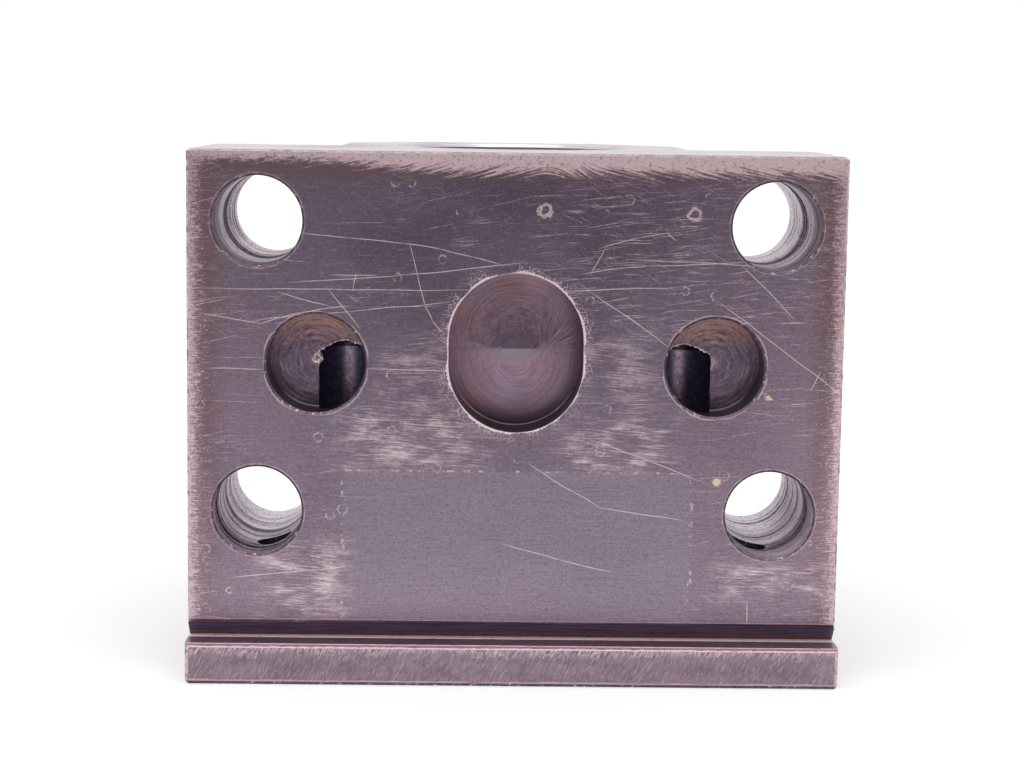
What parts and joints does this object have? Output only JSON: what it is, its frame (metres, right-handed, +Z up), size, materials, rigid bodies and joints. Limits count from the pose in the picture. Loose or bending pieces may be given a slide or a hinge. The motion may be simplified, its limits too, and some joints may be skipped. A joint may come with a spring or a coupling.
{
  "type": "boring bar holder block",
  "caption": "Bolt-on turret block that clamps a boring bar in its bore, with a locating lip, through bolt holes and coolant ports in its base face.",
  "frame": {"origin": "on the axis of the bar bore, in the plane of the front end that the block stands on", "axes": "+X across the base face, +Y from the base face towards the back of the housing, +Z up along the bar bore to the rear end"},
  "size_m": [0.0992, 0.0794, 0.0806],
  "materials": {
    "block_steel": "black oxide, worn at the edges",
    "screw_steel": "black oxide",
    "jet_brass": "machined"
  },
  "bodies": {
    "root": {"block": "block_steel", "clamp_screw_1": "screw_steel", "clamp_screw_2": "screw_steel", "clamp_screw_3": "screw_steel", "coolant_jet_left": "jet_brass", "coolant_jet_right": "jet_brass"}
  },
  "joints": []
}
